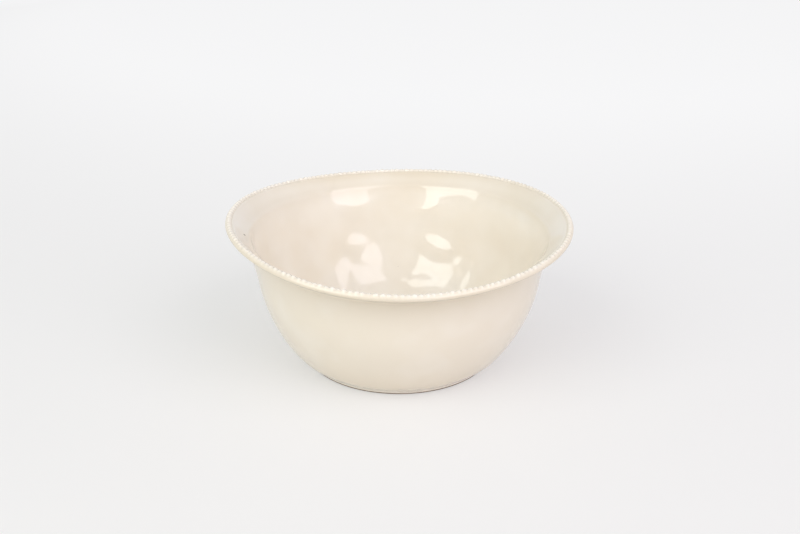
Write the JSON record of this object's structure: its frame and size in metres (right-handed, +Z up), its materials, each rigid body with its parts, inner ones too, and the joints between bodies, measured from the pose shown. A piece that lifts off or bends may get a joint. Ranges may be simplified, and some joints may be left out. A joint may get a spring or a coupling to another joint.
{
  "type": "salad bowl",
  "caption": "Hand-made round salad bowl in cream-glazed stoneware with a flared, gently waved lip, a beaded rolled edge and a low foot ring; holds and serves salad.",
  "frame": {"origin": "on the table at the centre of the foot ring", "axes": "+Z up through the mouth; the picture looks along +Y from the front, with +X to its right"},
  "size_m": [0.3068, 0.295, 0.1349],
  "materials": {
    "cream_glaze": "glossy cream glaze over stoneware",
    "foot_clay": "glaze wiped thin, bare clay at the contact"
  },
  "bodies": {
    "root": {"bowl_body": "cream_glaze", "foot_ring": "foot_clay", "flared_lip": "cream_glaze", "rolled_edge": "cream_glaze", "rim_beads": "cream_glaze"}
  },
  "joints": []
}
